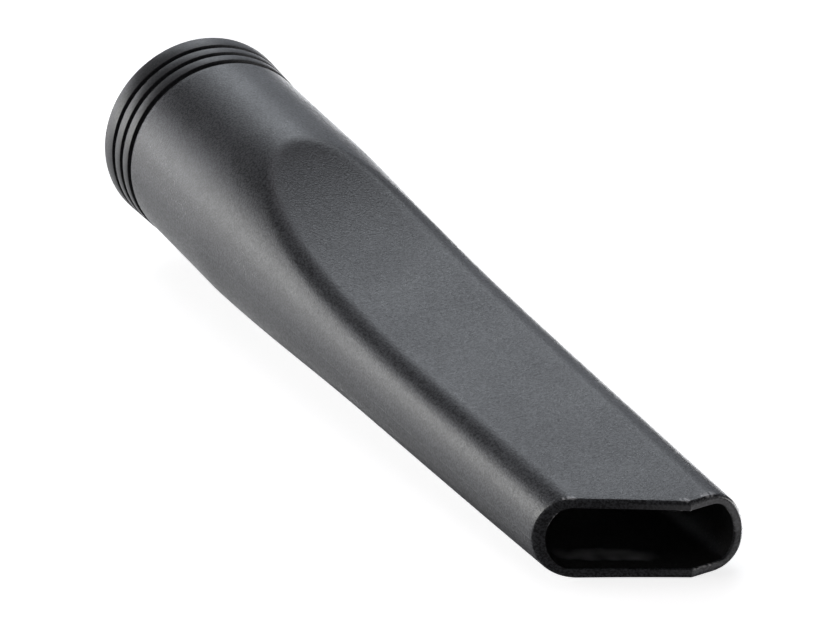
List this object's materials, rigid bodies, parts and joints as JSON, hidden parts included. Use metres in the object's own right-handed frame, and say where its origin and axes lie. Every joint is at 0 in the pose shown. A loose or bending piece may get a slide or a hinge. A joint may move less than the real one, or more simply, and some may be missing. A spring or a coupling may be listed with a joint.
{
  "type": "vacuum crevice nozzle",
  "caption": "Flattened vacuum crevice nozzle with a round push-on socket, a grooved collar, a flat top panel and an obliquely cut mouth.",
  "frame": {"origin": "centre of the socket's open end", "axes": "+Y out of the socket along its axis, so the mouth points along -Y; +Z towards the flat top panel; +X towards the mouth's long tip"},
  "size_m": [0.0384, 0.184, 0.0384],
  "materials": {
    "shell_plastic": "fine spark-eroded grain, dark grey",
    "collar_plastic": "satin, near black"
  },
  "bodies": {
    "root": {"upper_shell": "shell_plastic", "lower_shell": "shell_plastic", "socket_collar": "collar_plastic"}
  },
  "joints": []
}
